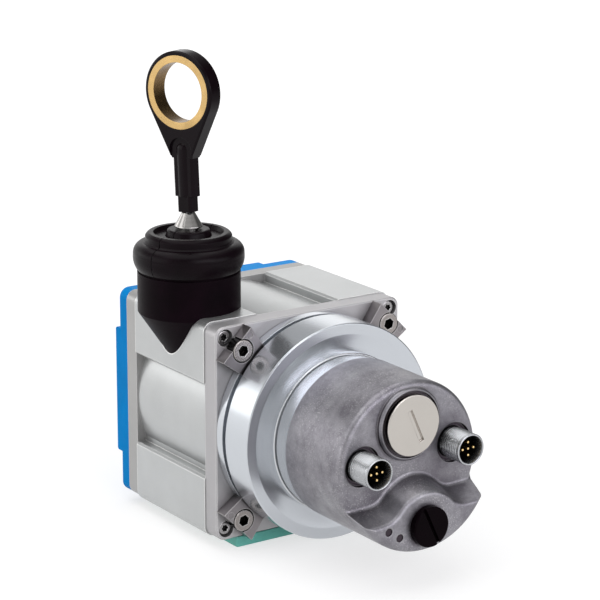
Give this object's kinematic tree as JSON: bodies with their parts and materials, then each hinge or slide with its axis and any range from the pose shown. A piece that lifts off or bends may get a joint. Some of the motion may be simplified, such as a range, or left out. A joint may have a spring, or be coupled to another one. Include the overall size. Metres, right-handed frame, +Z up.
{
  "type": "draw wire encoder",
  "caption": "Draw wire encoder: square housing with a sprung wire drum, wire outlet with rubber stop and clip eye, clamped flange and round encoder with plug connectors.",
  "frame": {"origin": "middle of the base pad's underside", "axes": "+Z up along the pulled wire, -Y along the encoder's axis out of the front plate, +X to the right seen from the encoder's side"},
  "size_m": [0.0975, 0.1522, 0.1873],
  "materials": {
    "body_metal": "fine satin, anodised",
    "pad_plastic": "smooth matt",
    "cover_plastic": "fine moulded",
    "dark_screws": "blackened",
    "turned_metal": "turned, bright",
    "clamp_metal": "ground, dark nickel",
    "clamp_screw_metal": "satin",
    "guide_plastic": "satin moulded",
    "bush_ceramic": "polished",
    "felt": "felt",
    "bumper_rubber": "soft gloss",
    "bearing_steel": "polished",
    "spring_steel": "rolled strip",
    "drum_metal": "turned",
    "shaft_steel": "ground",
    "wire_steel": "stranded",
    "coupling_metal": "turned",
    "ferrule_metal": "polished",
    "pin_steel": "ground",
    "clip_plastic": "satin moulded",
    "eye_brass": "turned",
    "encoder_turned_metal": "turned",
    "cast_metal": "die cast, blasted",
    "seal_rubber": "smooth",
    "disc_glass": "clear with fine lines",
    "board_laminate": "lacquered",
    "connector_nickel": "satin nickel",
    "connector_plastic": "moulded",
    "contact_gold": "gold plated",
    "plug_metal": "satin nickel",
    "service_plastic": "satin moulded",
    "lens_plastic": "dark translucent"
  },
  "bodies": {
    "housing": {"front_plate": "body_metal", "drum_housing": "body_metal", "rear_plate": "body_metal", "base_pad": "pad_plastic", "spring_cover": "cover_plastic", "plate_screws": "dark_screws", "cover_screws": "dark_screws", "pad_screws": "dark_screws", "mounting_flange": "turned_metal", "servo_clamps": "clamp_metal", "clamp_screws": "clamp_screw_metal", "wire_guide": "guide_plastic", "guide_bush": "bush_ceramic", "wire_wiper": "felt", "rubber_bumper": "bumper_rubber", "bearing_outer_rings": "bearing_steel", "bearing_balls": "bearing_steel", "power_spring": "spring_steel", "encoder_flange": "encoder_turned_metal", "encoder_housing": "cast_metal", "housing_seal": "seal_rubber", "encoder_bearing_outer_rings": "bearing_steel", "sensor_board": "board_laminate", "connector_shells": "connector_nickel", "connector_inserts": "connector_plastic", "connector_pins": "contact_gold", "switch_plug": "plug_metal", "switch_plug_seal": "seal_rubber", "service_plug": "service_plastic", "service_plug_seal": "seal_rubber", "indicator_lenses": "lens_plastic"},
    "drum": {"drum": "drum_metal", "drum_shaft": "shaft_steel", "wire_winding": "wire_steel", "bearing_inner_rings": "bearing_steel", "shaft_coupling": "coupling_metal", "encoder_shaft": "shaft_steel", "encoder_bearing_inner_rings": "bearing_steel", "code_disc": "disc_glass"},
    "wire_end": {"measuring_wire": "wire_steel", "wire_ferrule": "ferrule_metal", "swivel_pin": "pin_steel"},
    "clip": {"clip_eyelet": "clip_plastic", "eyelet_bush": "eye_brass"}
  },
  "joints": [
    {"name": "drum_turn", "type": "hinge", "parent": "housing", "child": "drum", "pos_m": [0, 0, 0.04625], "axis": [0, 1, 0], "range_deg": [0, 3420], "stiffness_Nm_per_rad": 0.00337, "springref_deg": -3420.56, "deforming": ["power_spring"]},
    {"name": "wire_pull", "type": "slide", "parent": "housing", "child": "wire_end", "axis": [0, 0, 1], "range_m": [0, 2], "deforming": ["measuring_wire"]},
    {"name": "clip_swivel", "type": "hinge", "parent": "wire_end", "child": "clip", "pos_m": [-0.0335, -0.00025, 0.1255], "axis": [-0.016, 0.0425, 0.999], "continuous": true}
  ],
  "couplings": [
    {"joint": "wire_pull", "follows": "drum_turn", "m_per_rad": 0.0335}
  ]
}
